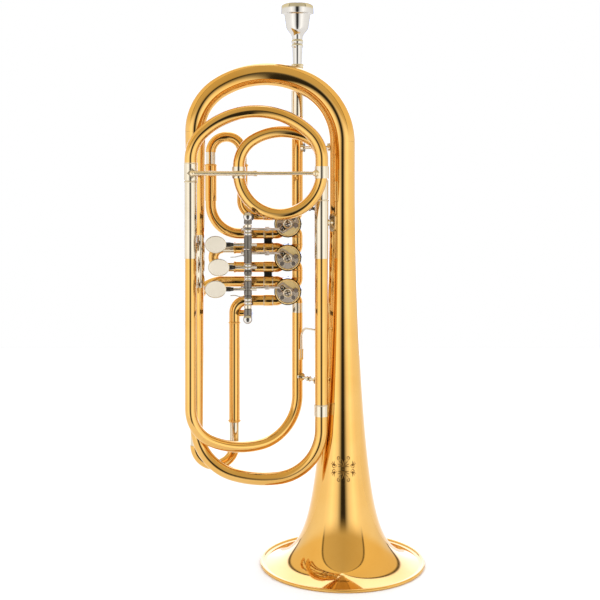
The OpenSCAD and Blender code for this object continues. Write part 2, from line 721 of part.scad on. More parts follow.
module lever_springs() color(steel) {
    spring(spring_z[0][0], spring_z[0][1], 2);
    spring(spring_z[1][0], spring_z[1][1], 5);
    spring(spring_z[2][0], spring_z[2][1], 9);
}

// ---------- braces ----------

module leadpipe_bell_brace() color(nickel) difference() {
    stay([mx + 4.2, py - 1.4, 384], [-10.5, 3.2, 384], 1.5, 4.2);
    upright(mx, py, 5.41);
    upright(0, 0, bell_r(379.8) + 0.03);
}

module valve_brace() color(steel) difference() {
    stay([mx + 2.6, py - 4.2, 328.4], [right_leg[0] - 3, right_leg[1] + 4.6, 326], 1.5, 3);
    upright(mx, py, 5.41);
    upright(right_leg[0], right_leg[1], right_leg_d / 2 + 0.01);
}

module leg_bell_brace() color(nickel) difference() {
    union() {
        stay([right_leg[0] + 4, right_leg[1] + 4, 313.8], [-8, -8, 313.8], 1.6, 3.2);
        translate([-8, -8, 313.8]) rotate([0, 0, 45]) rotate([90, 0, 90])
            for (s = [-1, 1]) translate([0, s * 5, -2.6]) cylinder(h = 4, r = 3.4);
        translate([-8, -8, 313.8]) rotate([0, 0, 45]) translate([-2.6, -3.4, -5]) cube([4, 6.8, 10]);
    }
    upright(right_leg[0], right_leg[1], right_leg_d / 2 + 0.01);
    translate([0, 0, 300]) cylinder(h = 28, r1 = bell_r(300) + 0.06, r2 = bell_r(328) + 0.06);
}

module lower_brace() color(nickel) difference() {
    union() {
        stay([mx + 3, py - 4, 170], [right_leg[0] - 3.4, right_leg[1] + 4.4, 170], 1.5, 3.6);
        translate([-38.2, 8.8, 170]) sphere(2.6);
    }
    upright(mx, py, tr + 0.01);
    upright(right_leg[0], right_leg[1], 5.86);
}

module left_leg_brace() color(nickel) difference() {
    translate([-134.9, -21.6, 295.4]) cube([7, 9, 15], center = true);
    upright(left_leg[0], left_leg[1], left_leg_d / 2 + 0.01);
    bar(on_branch(254), on_branch(303), branch_r(254) + 0.52, branch_r(303) + 0.52);
}

// wire hook for the little finger, from the exit tube to the right branch
hook_t = atan2(right_leg[1] - py, right_leg[0] - mx);
module finger_hook() color(nickel) difference() {
    union() {
        translate([mx + 6.6 * cos(hook_t), py + 6.6 * sin(hook_t), 188]) cylinder(h = 18, r = 0.95);
        arc([mx + 16.6 * cos(hook_t), py + 16.6 * sin(hook_t), 206], hook_t, 10, 0.9, 0, 90, 90);
        bar([mx + 16.6 * cos(hook_t), py + 16.6 * sin(hook_t), 216],
            [right_leg[0] - 7 * cos(hook_t), right_leg[1] - 7 * sin(hook_t), 216], 0.95);
        bar([right_leg[0] - 8 * cos(hook_t), right_leg[1] - 8 * sin(hook_t), 216],
            [right_leg[0] - 5 * cos(hook_t), right_leg[1] - 5 * sin(hook_t), 216], 2.2);
        translate([mx, py, 186]) rotate([0, 0, hook_t]) translate([4, -2, 0]) cube([3.2, 4, 10]);
    }
    upright(mx, py, tr + 0.01);
    upright(right_leg[0], right_leg[1], 5.86);
}

bell();
bell_rim_wire();
main_bow();
left_branch();
left_branch_sleeve();
outer_bottom_bow();
right_branch();
tuning_receiver_right();
tuning_receiver_left();
inner_bottom_bow();
exit_tube();
tube_ferrules();
tuning_slide_bow();
tuning_slide_coil();
tuning_slide_ferrules();
tuning_inner_legs();
tuning_slide_brace();
leadpipe();
mouthpiece_receiver();
mouthpiece();
valve_casing_1();
valve_casing_2();
valve_casing_3();
rotor_1();
rotor_2();
rotor_3();
crank_1();
crank_2();
crank_3();
valve_front_plates();
rear_bearing_plates();
rear_caps();
stop_corks();
link_1();
link_2();
link_3();
lever_1();
lever_2();
lever_3();
lever_axle();
axle_posts();
axle_post_screws();
lever_springs();
valve_knuckles();
first_slide_tubes();
first_slide_legs();
first_slide_bow();
second_slide_tubes();
second_slide_legs();
second_slide_bow();
third_slide_tubes();
third_slide_legs();
third_slide_bow();
slide_spacers();
leadpipe_bell_brace();
valve_brace();
leg_bell_brace();
lower_brace();
left_leg_brace();
finger_hook();
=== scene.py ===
import json
import math

import bmesh
import bpy
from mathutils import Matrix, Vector


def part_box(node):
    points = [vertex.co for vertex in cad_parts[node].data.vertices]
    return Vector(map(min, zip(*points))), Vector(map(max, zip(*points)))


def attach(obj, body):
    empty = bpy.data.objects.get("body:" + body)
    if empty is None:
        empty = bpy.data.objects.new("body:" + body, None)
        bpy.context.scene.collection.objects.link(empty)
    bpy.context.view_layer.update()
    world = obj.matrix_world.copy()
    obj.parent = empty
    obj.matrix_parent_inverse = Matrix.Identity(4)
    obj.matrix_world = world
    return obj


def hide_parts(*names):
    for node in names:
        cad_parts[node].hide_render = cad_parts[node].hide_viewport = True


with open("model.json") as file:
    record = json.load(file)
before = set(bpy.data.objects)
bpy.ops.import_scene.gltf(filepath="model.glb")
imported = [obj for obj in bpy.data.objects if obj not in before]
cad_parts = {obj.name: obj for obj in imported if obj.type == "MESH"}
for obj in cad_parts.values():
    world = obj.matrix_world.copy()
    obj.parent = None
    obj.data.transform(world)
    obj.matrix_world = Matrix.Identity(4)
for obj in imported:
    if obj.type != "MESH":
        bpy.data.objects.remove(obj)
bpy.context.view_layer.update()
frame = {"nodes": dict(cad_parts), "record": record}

# Rotary-valve flugelhorn. Lengths below are millimetres; MM turns them into Blender's metres.
# +Z runs up the bell axis and -Y is the side with the finger levers.
MM = 0.001
ROOT = "instrument"
X_AXIS, Y_AXIS, Z_AXIS = Vector((1, 0, 0)), Vector((0, 1, 0)), Vector((0, 0, 1))


# ---------- places taken from the frame ----------

def low(node):
    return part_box(node)[0] / MM


def high(node):
    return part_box(node)[1] / MM


def middle(node):
    return (low(node) + high(node)) / 2


LEFT_LEG = middle("tuning_receiver_left").xy
RIGHT_LEG = middle("right_branch").xy
MAIN = middle("leadpipe").xy
VALVE_X, _, VALVE_2_Z = middle("valve_front_plates")
BEARING_PLATE_D = 22.36
VALVE_PITCH = (high("rear_bearing_plates").z - low("rear_bearing_plates").z - BEARING_PLATE_D) / 2
VALVE_Z = [VALVE_2_Z + VALVE_PITCH, VALVE_2_Z, VALVE_2_Z - VALVE_PITCH]
AXLE = middle("lever_axle").xy
SLIDE_R = (high("second_slide_bow").y - low("second_slide_bow").y) / 2
# Distance of each valve's slide ports from the valve axis.
PORT_OFF = 8.8


# ---------- mesh helpers ----------

def make_object(name, verts, faces, sharp_deg=35):
    mesh = bpy.data.meshes.new(name)
    mesh.from_pydata([Vector(v) * MM for v in verts], [], faces)
    work = bmesh.new()
    work.from_mesh(mesh)
    bmesh.ops.remove_doubles(work, verts=work.verts, dist=1e-8)
    bmesh.ops.dissolve_degenerate(work, edges=work.edges, dist=1e-9)
    bmesh.ops.recalc_face_normals(work, faces=work.faces)
    work.to_mesh(mesh)
    work.free()
    mesh.polygons.foreach_set("use_smooth", [True] * len(mesh.polygons))
    mesh.set_sharp_from_angle(angle=math.radians(sharp_deg))
    obj = bpy.data.objects.new(name, mesh)
    bpy.context.scene.collection.objects.link(obj)
    return obj


def joined(name, parts):
    """One mesh from several (verts, faces) shells."""
    verts, faces = [], []
    for part_verts, part_faces in parts:
        base = len(verts)
        verts += part_verts
        faces += [[i + base for i in face] for face in part_faces]
    return make_object(name, verts, faces)


def skin(rings, loop):
    """Quads between rings of equal size; loop joins last to first, otherwise both ends are capped."""
    count, size = len(rings), len(rings[0])
    verts = [v for ring in rings for v in ring]
    faces = []
    for i in range(count if loop else count - 1):
        j = (i + 1) % count
        for k in range(size):
            n = (k + 1) % size
            faces.append([i * size + k, j * size + k, j * size + n, i * size + n])
    if not loop:
        faces.append(list(range(size)))
        faces.append([(count - 1) * size + k for k in reversed(range(size))])
    return verts, faces


def basis(axis):
    axis = Vector(axis).normalized()
    side = axis.orthogonal().normalized()
    return axis, side, axis.cross(side)


def turned(profile, base, axis=Z_AXIS, segments=64, loop=True):
    """Shell of revolution. profile holds (radius, height along axis) points."""
    axis, side, other = basis(axis)
    rings = []
    for radius, height in profile:
        centre = Vector(base) + axis * height
        rings.append([centre + (side * math.cos(a) + other * math.sin(a)) * max(radius, 1e-4)
                      for a in (math.tau * k / segments for k in range(segments))])
    return skin(rings, loop)


def swept(path, radius, wall=0.0, segments=56):
    """Round tube along a path. radius is a number or a function of the share of the length."""
    size = radius if callable(radius) else lambda share: radius
    lengths = [0.0]
    for a, b in zip(path, path[1:]):
        lengths.append(lengths[-1] + (b - a).length)
    last = len(path) - 1
    tangents = [(path[min(i + 1, last)] - path[max(i - 1, 0)]).normalized() for i in range(last + 1)]
    side = tangents[0].orthogonal().normalized()
    frames = []
    for tangent in tangents:
        side = (side - tangent * side.dot(tangent)).normalized()
        frames.append((side.copy(), tangent.cross(side)))

    def ring(i, r):
        a, b = frames[i]
        return [path[i] + (a * math.cos(t) + b * math.sin(t)) * r
                for t in (math.tau * k / segments for k in range(segments))]

    shares = [d / lengths[-1] for d in lengths]
    rings = [ring(i, size(s)) for i, s in enumerate(shares)]
    if wall:
        rings += [ring(i, size(shares[i]) - wall) for i in reversed(range(len(path)))]
    return skin(rings, bool(wall))


def filleted(corners, radii, step=3.0):
    """Path through corner points with round bends of the given radii at the inner corners."""
    points = [Vector(c) for c in corners]
    path = [points[0]]
    for i in range(1, len(points) - 1):
        a = (points[i - 1] - points[i]).normalized()
        b = (points[i + 1] - points[i]).normalized()
        turn = math.pi - a.angle(b)
        radius = radii[i - 1]
        reach = radius * math.tan(turn / 2)
        centre = points[i] + (a + b).normalized() * (radius / math.cos(turn / 2))
        start = points[i] + a * reach - centre
        end = points[i] + b * reach - centre
        count = max(4, int(math.degrees(turn) / step))
        for k in range(count + 1):
            t = k / count
            arm = start * math.sin((1 - t) * turn) + end * math.sin(t * turn)
            path.append(centre + arm / math.sin(turn))
    path.append(points[-1])
    return path


def three_arc(a, b, left, right, apex, ends=(0, 0), count=72):
    """Bow from a to b (places seen from above) bent on three radii that meet without a kink.
    left and right are (corner radius, start height), apex is the far height, ends add straight lengths."""
    sign = 1 if apex > left[1] else -1
    (rl, zl), (rr, zr), top = (left[0], sign * left[1]), (right[0], sign * right[1]), sign * apex
    along = (Vector(b) - Vector(a))
    half, along = along.length / 2, along.normalized()
    mid = (Vector(a) + Vector(b)) / 2
    ul, ur, kl, kr = half - rl, half - rr, top - zl - rl, top - zr - rr
    q, p = 1 / kl - 1 / kr, 2 * (ul / kl + ur / kr)
    c = ul * ul / kl - ur * ur / kr + (top - zl + rl) - (top - zr + rr)
    shift = -c / p if abs(q) < 1e-9 else (-p + math.sqrt(p * p - 4 * q * c)) / (2 * q)
    crown = ((shift + ul) ** 2 / kl + top - zl + rl) / 2
    turn_l = 90 - math.degrees(math.atan2(ul + shift, zl - top + crown))
    turn_r = 90 + math.degrees(math.atan2(ur - shift, zr - top + crown))
    flat = [(-half, zl - ends[0])] if ends[0] else []
    for i in range(count + 1):
        t = 180 * i / count
        cos, sin = math.cos(math.radians(t)), math.sin(math.radians(t))
        if t < turn_l:
            flat.append((-ul - rl * cos, zl + rl * sin))
        elif t < turn_r:
            flat.append((shift - crown * cos, top - crown + crown * sin))
        else:
            flat.append((ur - rr * cos, zr + rr * sin))
    if ends[1]:
        flat.append((half, zr - ends[1]))
    return [Vector((*(mid + along * s), sign * z)) for s, z in flat]


def half_round(a, b, height, up=True):
    """Path of a plain half-circle bow between two upright legs."""
    radius = (Vector(b) - Vector(a)).length / 2
    apex = height + radius if up else height - radius
    return three_arc(a, b, (radius * 0.9, height), (radius * 0.9, height), apex)


def band(inner, outer, length, edge=0.35, beads=()):
    """Profile of a ferrule: thin sleeve with rounded edges and raised beads at the given heights."""
    top = [(outer, edge)]
    for height in sorted(beads):
        for k in range(7):
            t = math.pi * k / 6
            top.append((outer + 0.55 * math.sin(t), height - 0.7 * math.cos(t)))
    top.append((outer, length - edge))
    return ([(inner, 0), (outer - edge * 0.6, 0), (outer - edge * 0.15, edge * 0.3)] + top
            + [(outer - edge * 0.15, length - edge * 0.3), (outer - edge * 0.6, length), (inner, length)])


def smooth_profile(points, steps=6):
    """Catmull-Rom curve through (radius, height) points."""
    padded = [points[0]] + list(points) + [points[-1]]
    out = []
    for p0, p1, p2, p3 in zip(padded, padded[1:], padded[2:], padded[3:]):
        for k in range(steps):
            t = k / steps
            out.append(tuple(0.5 * (2 * b + (c - a) * t + (2 * a - 5 * b + 4 * c - d) * t * t
                                    + (3 * b - a - 3 * c + d) * t ** 3)
                             for a, b, c, d in zip(p0, p1, p2, p3)))
    return out + [points[-1]]


def place(obj, body, material, slot, *nodes):
    obj.data.materials.clear()
    obj.data.materials.append(material)
    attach(obj, body)
    if nodes:
        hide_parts(*nodes)
    return obj


# ---------- materials ----------

def metal(name, colour, tint, roughness, spread, lacquer=0.0, grain=0.02, grain_scale=900.0):
    """Polished metal: slow tint changes, uneven polish with fine wipe marks, and faint pitting."""
    material = bpy.data.materials.new(name)
    material.use_nodes = True
    nodes, links = material.node_tree.nodes, material.node_tree.links
    shader = nodes["Principled BSDF"]
    shader.inputs["Metallic"].default_value = 1.0
    if lacquer:
        shader.inputs["Coat Weight"].default_value = lacquer
        shader.inputs["Coat Roughness"].default_value = 0.04
    where = nodes.new("ShaderNodeTexCoord")

    def noise(scale, detail):
        node = nodes.new("ShaderNodeTexNoise")
        node.inputs["Scale"].default_value = scale
        node.inputs["Detail"].default_value = detail
        links.new(where.outputs["Object"], node.inputs["Vector"])
        return node

    patches = noise(28.0, 3.0)
    mix = nodes.new("ShaderNodeMix")
    mix.data_type = "RGBA"
    mix.inputs["A"].default_value = (*colour, 1)
    mix.inputs["B"].default_value = (*tint, 1)
    ramp = nodes.new("ShaderNodeMapRange")
    ramp.inputs["From Min"].default_value = 0.42
    ramp.inputs["From Max"].default_value = 0.72
    links.new(patches.outputs["Fac"], ramp.inputs["Value"])
    links.new(ramp.outputs["Result"], mix.inputs["Factor"])
    links.new(mix.outputs["Result"], shader.inputs["Base Color"])
    wipes = noise(grain_scale * 0.25, 5.0)
    polish = nodes.new("ShaderNodeMapRange")
    polish.inputs["From Min"].default_value = 0.3
    polish.inputs["From Max"].default_value = 0.8
    polish.inputs["To Min"].default_value = roughness
    polish.inputs["To Max"].default_value = roughness + spread
    links.new(wipes.outputs["Fac"], polish.inputs["Value"])
    links.new(polish.outputs["Result"], shader.inputs["Roughness"])
    pits = noise(grain_scale, 2.0)
    bump = nodes.new("ShaderNodeBump")
    bump.inputs["Strength"].default_value = grain
    bump.inputs["Distance"].default_value = 0.00003
    links.new(pits.outputs["Fac"], bump.inputs["Height"])
    links.new(bump.outputs["Normal"], shader.inputs["Normal"])
    return material


def soft_material(name, colour, speck, roughness, scale):
    """Matt pressed material with dark specks, for the stop buffers."""
    material = metal(name, colour, speck, roughness, 0.1, grain=0.6, grain_scale=scale)
    material.node_tree.nodes["Principled BSDF"].inputs["Metallic"].default_value = 0.0
    return material


BRASS = metal("lacquered brass", (0.76, 0.452, 0.132), (0.73, 0.41, 0.10), 0.045, 0.05, lacquer=0.2)
PALE_BRASS = metal("pale brass cap", (1.0, 0.80, 0.42), (0.95, 0.73, 0.36), 0.46, 0.10)
NICKEL = metal("nickel silver", (0.71, 0.63, 0.49), (0.64, 0.56, 0.42), 0.07, 0.07)
GREY_NICKEL = metal("dull nickel plate", (0.66, 0.58, 0.50), (0.54, 0.47, 0.40), 0.40, 0.12, grain=0.05)
SILVER = metal("silver plate", (0.66, 0.63, 0.585), (0.58, 0.55, 0.50), 0.06, 0.05)
STEEL = metal("machined steel", (0.60, 0.55, 0.47), (0.46, 0.42, 0.36), 0.12, 0.10, grain=0.05)
# Dark grey steel for the axle barrels and post heads; on the post screws it is painted shade standing for the
# cross slots.
GREY_STEEL_AND_CROSS_SHADE = metal("bead-blasted steel and painted cross shade", (0.20, 0.18, 0.155), (0.12, 0.11, 0.095), 0.26, 0.14, grain=0.1)
# Dark steel for the slide spacers, valve brace and lever sockets; on the crank screws it is painted shade
# standing for the slots.
DARK_STEEL_AND_SLOT_SHADE = metal("oiled steel and painted slot shade", (0.055, 0.05, 0.042), (0.035, 0.032, 0.028), 0.25, 0.15, grain=0.08)
TOUCH = soft_material("pearl touch", (0.74, 0.67, 0.55), (0.62, 0.56, 0.44), 0.3, 900.0)
CORK = soft_material("stop buffer", (0.20, 0.15, 0.12), (0.12, 0.09, 0.07), 0.6, 2500.0)
INSERT = soft_material("fibre insert", (0.15, 0.12, 0.10), (0.08, 0.07, 0.06), 0.45, 2500.0)
SATIN_NICKEL = metal("satin nickel bar", (0.82, 0.69, 0.48), (0.74, 0.62, 0.42), 0.27, 0.10)
# Dark brass for the engraving's strokes: painted shade that stands for the shade inside the cuts.
ENGRAVING_SHADE = metal("painted engraving shade", (0.22, 0.12, 0.03), (0.16, 0.09, 0.02), 0.4, 0.2)
SLOT_MATERIAL = {"lacquered_brass": BRASS, "nickel_silver": NICKEL, "silver_plate": SILVER,
                 "steel": STEEL, "cork": CORK}


# ---------- studio: camera, light, floor ----------

def make_camera():
    data = bpy.data.cameras.new("camera")
    data.sensor_width = 36.0
    data.lens = 57.54
    data.shift_y = -0.1267
    camera = bpy.data.objects.new("camera", data)
    camera.location = (-0.0391, -0.8867, 0.3125)
    camera.rotation_euler = (math.pi / 2, 0, 0)
    bpy.context.scene.collection.objects.link(camera)
    bpy.context.scene.camera = camera


# The tent's walls end and the backdrop begins at this share of a half turn from the -Y side.
SEAM = 0.82
BACKDROP_TINT = (0.72, 0.80, 1.12)
ROOF_TINT = (1.10, 0.96, 0.62)


def make_tent():
    """White tent that only reflections see: a narrow dark gap on the -Y side, a dimmer roof, and a bright
    backdrop past thin seams. Diffuse light is even and the camera sees plain white."""
    world = bpy.data.worlds.new("studio")
    bpy.context.scene.world = world
    world.use_nodes = True
    nodes, links = world.node_tree.nodes, world.node_tree.links
    nodes.clear()
    where = nodes.new("ShaderNodeTexCoord")
    split = nodes.new("ShaderNodeSeparateXYZ")
    links.new(where.outputs["Generated"], split.inputs["Vector"])

    def compute(operation, *values):
        """Math node whose inputs are sockets or plain numbers."""
        node = nodes.new("ShaderNodeMath")
        node.operation = operation
        for socket, value in zip(node.inputs, values):
            if isinstance(value, float):
                socket.default_value = value
            else:
                links.new(value, socket)
        return node.outputs[0]

    azimuth = compute("ARCTAN2", split.outputs["X"], compute("MULTIPLY", split.outputs["Y"], -1.0))
    turn = compute("DIVIDE", compute("ABSOLUTE", azimuth), math.pi)

    def wall(stops, tint=(1.0, 1.0, 1.0)):
        """Brightness of the tent against the turn away from the -Y side, 0 in front and 1 behind."""
        ramp = nodes.new("ShaderNodeValToRGB")
        while len(ramp.color_ramp.elements) < len(stops):
            ramp.color_ramp.elements.new(0.5)
        for element, (position, value) in zip(ramp.color_ramp.elements, stops):
            element.position = position
            shade = BACKDROP_TINT if position > SEAM else tint
            element.color = (*(value * part for part in shade), 1)
        links.new(turn, ramp.inputs["Fac"])
        return ramp

    seam_and_backdrop = [(0.804, 0.06), (0.815, 0.06), (0.83, 0.95), (1.0, 1.0)]
    level = wall([(0.0, 0.011), (0.035, 0.015), (0.07, 0.22), (0.11, 0.43), (0.17, 0.55), (0.228, 0.63),
                  (0.30, 0.54), (0.38, 0.48), (0.60, 0.45), (0.79, 0.39)] + seam_and_backdrop)
    roof = wall([(0.0, 0.25), (0.31, 0.29), (0.325, 0.07), (0.335, 0.07), (0.35, 0.40),
                 (0.79, 0.37)] + seam_and_backdrop, ROOF_TINT)
    height = nodes.new("ShaderNodeMapRange")
    height.interpolation_type = "SMOOTHSTEP"
    height.inputs["From Min"].default_value = 0.12
    height.inputs["From Max"].default_value = 0.34
    links.new(split.outputs["Z"], height.inputs["Value"])
    tent_colour = nodes.new("ShaderNodeMix")
    tent_colour.data_type = "RGBA"
    links.new(height.outputs["Result"], tent_colour.inputs["Factor"])
    links.new(level.outputs["Color"], tent_colour.inputs["A"])
    links.new(roof.outputs["Color"], tent_colour.inputs["B"])

    def background(strength):
        node = nodes.new("ShaderNodeBackground")
        node.inputs["Color"].default_value = (1, 1, 1, 1)
        node.inputs["Strength"].default_value = strength
        return node

    def choice(factor, first, second):
        node = nodes.new("ShaderNodeMixShader")
        links.new(factor, node.inputs["Fac"])
        links.new(first.outputs[0], node.inputs[1])
        links.new(second.outputs[0], node.inputs[2])
        return node

    tent = background(2.6)
    links.new(tent_colour.outputs["Result"], tent.inputs["Color"])
    rays = nodes.new("ShaderNodeLightPath")
    lit = choice(rays.outputs["Is Diffuse Ray"], tent, background(1.15))
    seen = choice(rays.outputs["Is Camera Ray"], lit, background(1.0))
    out = nodes.new("ShaderNodeOutputWorld")
    links.new(seen.outputs[0], out.inputs["Surface"])
    bpy.context.scene.view_settings.view_transform = "Standard"


def make_lamp():
    """Large soft lamp overhead, for the shadow on the floor."""
    data = bpy.data.lights.new("overhead", "AREA")
    data.size = 1.2
    data.energy = 4.0
    lamp = bpy.data.objects.new("overhead", data)
    lamp.visible_glossy = False
    lamp.location = (-0.3, 0.3, 1.7)
    lamp.rotation_euler = (Vector((0, 0, 0.1)) - lamp.location).to_track_quat("-Z", "Y").to_euler()
    bpy.context.scene.collection.objects.link(lamp)


def make_floor():
    """Pale sheet that ends a little in front of the bell, so the metal still shows the dark gap below."""
    side, front, back = 1100, -290, 1500
    floor = make_object("floor", [(-side, front, 0), (side, front, 0), (side, back, 0), (-side, back, 0)],
                        [[0, 1, 2, 3]])
    material = bpy.data.materials.new("pale paper")
    material.use_nodes = True
    shader = material.node_tree.nodes["Principled BSDF"]
    shader.inputs["Base Color"].default_value = (0.95, 0.95, 0.95, 1)
    shader.inputs["Roughness"].default_value = 0.9
    floor.data.materials.append(material)


make_camera()
make_tent()
make_lamp()
make_floor()


# ---------- bell ----------

BELL_RIM_R = high("bell").x
BELL_TOP = high("bell").z
BEAD_R, BEAD_Z = 1.6, 1.4
FLARE_LENGTH, FLARE_POWER, BELL_WALL = 5.5, 0.388, 0.7
WAIST_DEPTH, WAIST_LENGTH = 3.7, 560
RIM_EDGE_Z = 0.9
ENGRAVING_Z = 92.0


def bell_r(z):
    """Outside radius at height z: a power-law flare, drawn in most (by WAIST_DEPTH) at half WAIST_LENGTH."""
    waist = WAIST_DEPTH * math.sin(math.pi * z / WAIST_LENGTH) ** 2
    return BELL_RIM_R * (1 + z / FLARE_LENGTH) ** -FLARE_POWER - waist


def bell_inner(z):
    """Inside radius at height z, for sheet of even thickness."""
    slope = (bell_r(z + 0.05) - bell_r(z - 0.05)) / 0.1
    return bell_r(z) - BELL_WALL * math.sqrt(1 + slope * slope)


def make_bell():
    """One closed shell: outside, rolled bead and inside, with rings closer together towards the rim."""
    count = 110
    heights = [RIM_EDGE_Z + (BELL_TOP - RIM_EDGE_Z) * (i / count) ** 2.2 for i in range(count + 1)]
    outside = [(bell_r(z), z) for z in reversed(heights)]
    inside = [(bell_inner(z), z) for z in heights]
    bead_x = BELL_RIM_R - BEAD_R
    bead = []
    for k in range(33):
        angle = math.radians(190 - 380 * k / 32)
        bead.append((bead_x + BEAD_R * math.cos(angle), max(0.0, BEAD_Z + BEAD_R * math.sin(angle))))
    bell = joined("bell_body", [turned(outside + bead + inside, (0, 0, 0), segments=224)])
    place(bell, ROOT, BRASS, "lacquered_brass", "bell")


def petal(start, heading, length, bend, count=12):
    """Curved stroke as (across, up) points."""
    x, z = start
    points = [(x, z)]
    for k in range(count):
        angle = heading + bend * k / count
        x += length / count * math.sin(angle)
        z += length / count * math.cos(angle)
        points.append((x, z))
    return points


def volute(centre, radius, start, turns, count=44):
    """Flat spiral that winds in to its centre, as (across, up) points."""
    points = []
    for k in range(count + 1):
        share = k / count
        size = radius * (1 - share) ** 0.8 + 0.25
        angle = start + math.tau * turns * share
        points.append((centre[0] + size * math.cos(angle), centre[1] + size * math.sin(angle)))
    return points


def stroke_r(share):
    """Half width of an engraved stroke, swelling towards its middle."""
    return 0.11 + 0.26 * math.sin(math.pi * (0.06 + 0.9 * share))


def make_ornament():
    """Palmette between leaf volutes, cut into the front of the bell and mirrored. It holds no lettering. Its
    strokes are dark brass: painted shade standing for the shade inside the cuts.
    """
    strokes = []
    for up in (1, -1):
        for spread, length in ((0.0, 7.5), (0.42, 7.0), (0.84, 5.8), (1.25, 4.6)):
            strokes.append([(x, up * z) for x, z in petal((0.4 * spread, 1.6), spread, length, 0.5)])
        for spread in (0.5, 0.95, 1.4):
            strokes.append([(x, up * z) for x, z in petal((7.6, 2.6), spread, 4.6, -0.7)])
        strokes.append([(x, up * z) for x, z in volute((8.4, 1.9), 1.9, math.pi, -1.3)])
        strokes.append([(x, up * z) for x, z in volute((4.2, 9.6), 1.5, -0.6 * math.pi, 1.2)])
    strokes.append(petal((-1.6, 0.0), math.pi / 2, 3.2, 0.0))
    shells = []
    for side in (1, -1):
        for stroke in strokes:
            path = []
            for across, up in stroke:
                radius = bell_r(ENGRAVING_Z + up)
                angle = side * across / radius
                path.append(Vector((radius * math.sin(angle), -radius * math.cos(angle), ENGRAVING_Z + up)))
            shells.append(swept(path, stroke_r, segments=8))
    place(joined("bell_engraving", shells), ROOT, ENGRAVING_SHADE, "lacquered_brass")


make_bell()
make_ornament()


# ---------- main tubing ----------

BRANCH_WALL, THIN_WALL = 0.6, 0.42
BRANCH_TOP_R, BRANCH_LOW_R = 9.2, 5.9
BRANCH_Y = -12.5
BRANCH_TOP = Vector((low("main_bow").x + BRANCH_TOP_R, BRANCH_Y))
BRANCH_TOP_Z = 396.0
BRANCH_LOW = Vector((-133.4, BRANCH_Y))
# Each bow holds (corner radius, start height) of its left and right side, then its far height.
MAIN_BOW = ((49, BRANCH_TOP_Z), (60, BELL_TOP), 450)
OUTER_LEFT_Z, OUTER_RIGHT_Z = 129.1, 127.3
OUTER_BOW = ((45.9, OUTER_LEFT_Z), (45.4, OUTER_RIGHT_Z), 81.3)
OUTER_SEAM_Z = low("right_branch").z
TUBE_R = (high("exit_tube").x - low("exit_tube").x) / 2
INNER_LEFT_Z, INNER_RIGHT_Z = 147.3, low("exit_tube").z
INNER_BOW = ((34.1, INNER_LEFT_Z), (43.2, INNER_RIGHT_Z), 108.3)


def branch_path(count=12):
    """The left branch runs straight from the outer bow up to the main bow."""
    foot = Vector((*BRANCH_LOW, OUTER_LEFT_Z))
    head = Vector((*BRANCH_TOP, BRANCH_TOP_Z))
    return [foot.lerp(head, i / count) for i in range(count + 1)]


def make_main_tubing():
    """Main bow, left branch, and the outer and inner bottom bows."""
    tail_r = bell_r(BELL_TOP)
    bow = three_arc(BRANCH_TOP, (0, 0), *MAIN_BOW, count=110)
    place(joined("main_bow_tube", [
        swept(bow, lambda s: BRANCH_TOP_R + (tail_r - BRANCH_TOP_R) * s, BELL_WALL, segments=72)]),
        ROOT, BRASS, "lacquered_brass", "main_bow")

    place(joined("left_branch_tube", [
        swept(branch_path(), lambda s: BRANCH_LOW_R + (BRANCH_TOP_R - BRANCH_LOW_R) * s, BRANCH_WALL,
              segments=64)]),
        ROOT, BRASS, "lacquered_brass", "left_branch")

    outer = three_arc(BRANCH_LOW, RIGHT_LEG, *OUTER_BOW, ends=(0, OUTER_SEAM_Z - OUTER_RIGHT_Z))
    place(joined("outer_bottom_bow_tube", [
        swept(outer, lambda s: BRANCH_LOW_R - 0.05 * s, BRANCH_WALL, segments=64)]),
        ROOT, BRASS, "lacquered_brass", "outer_bottom_bow")

    inner = three_arc(LEFT_LEG, MAIN, *INNER_BOW, ends=(high("inner_bottom_bow").z - INNER_LEFT_Z, 0))
    place(joined("inner_bottom_bow_tube", [swept(inner, TUBE_R, THIN_WALL, segments=64)]),
          ROOT, BRASS, "lacquered_brass", "inner_bottom_bow")


def make_tuning_slide():
    """The bow over the top and the coil that it runs into, which ends over the right leg."""
    body = "tuning_slide"
    bow_r, bend_r = 5.7, 33
    tune_r = Vector((RIGHT_LEG.x, low("tuning_slide_bow").y + bow_r))
    left_foot, coil_z, start = 360.0, low("tuning_slide_bow").z, 369.5
    apex = high("tuning_slide_bow").z - bow_r
    bow = three_arc(LEFT_LEG, tune_r, (bend_r, start), (bend_r, start), apex,
                    ends=(start - left_foot, start - coil_z), count=96)
    place(joined("tuning_bow_tube", [swept(bow, bow_r, BRANCH_WALL, segments=64)]),
          body, BRASS, "lacquered_brass", "tuning_slide_bow")

    coil_r, coil_y, leg_top = 5.3, -26.5, 346
    coil_l = Vector((low("tuning_slide_coil").x + coil_r, coil_y))
    lower = half_round(coil_l, tune_r, coil_z, up=False)
    left_rise, right_rise = 6, 12
    apex = high("tuning_slide_coil").z - coil_r
    upper = three_arc(coil_l, RIGHT_LEG, (28, coil_z + left_rise), (22, coil_z + right_rise), apex,
                      ends=(left_rise, coil_z + right_rise - leg_top))
    # one run: from the bow round the lower turn, over the top and down to the right leg
    run = list(reversed(lower)) + upper[1:]
    place(joined("tuning_coil_tube", [swept(run, coil_r, 0.5, segments=64)]),
          body, BRASS, "lacquered_brass", "tuning_slide_coil")


make_main_tubing()
make_tuning_slide()


# ---------- valve slide bows ----------

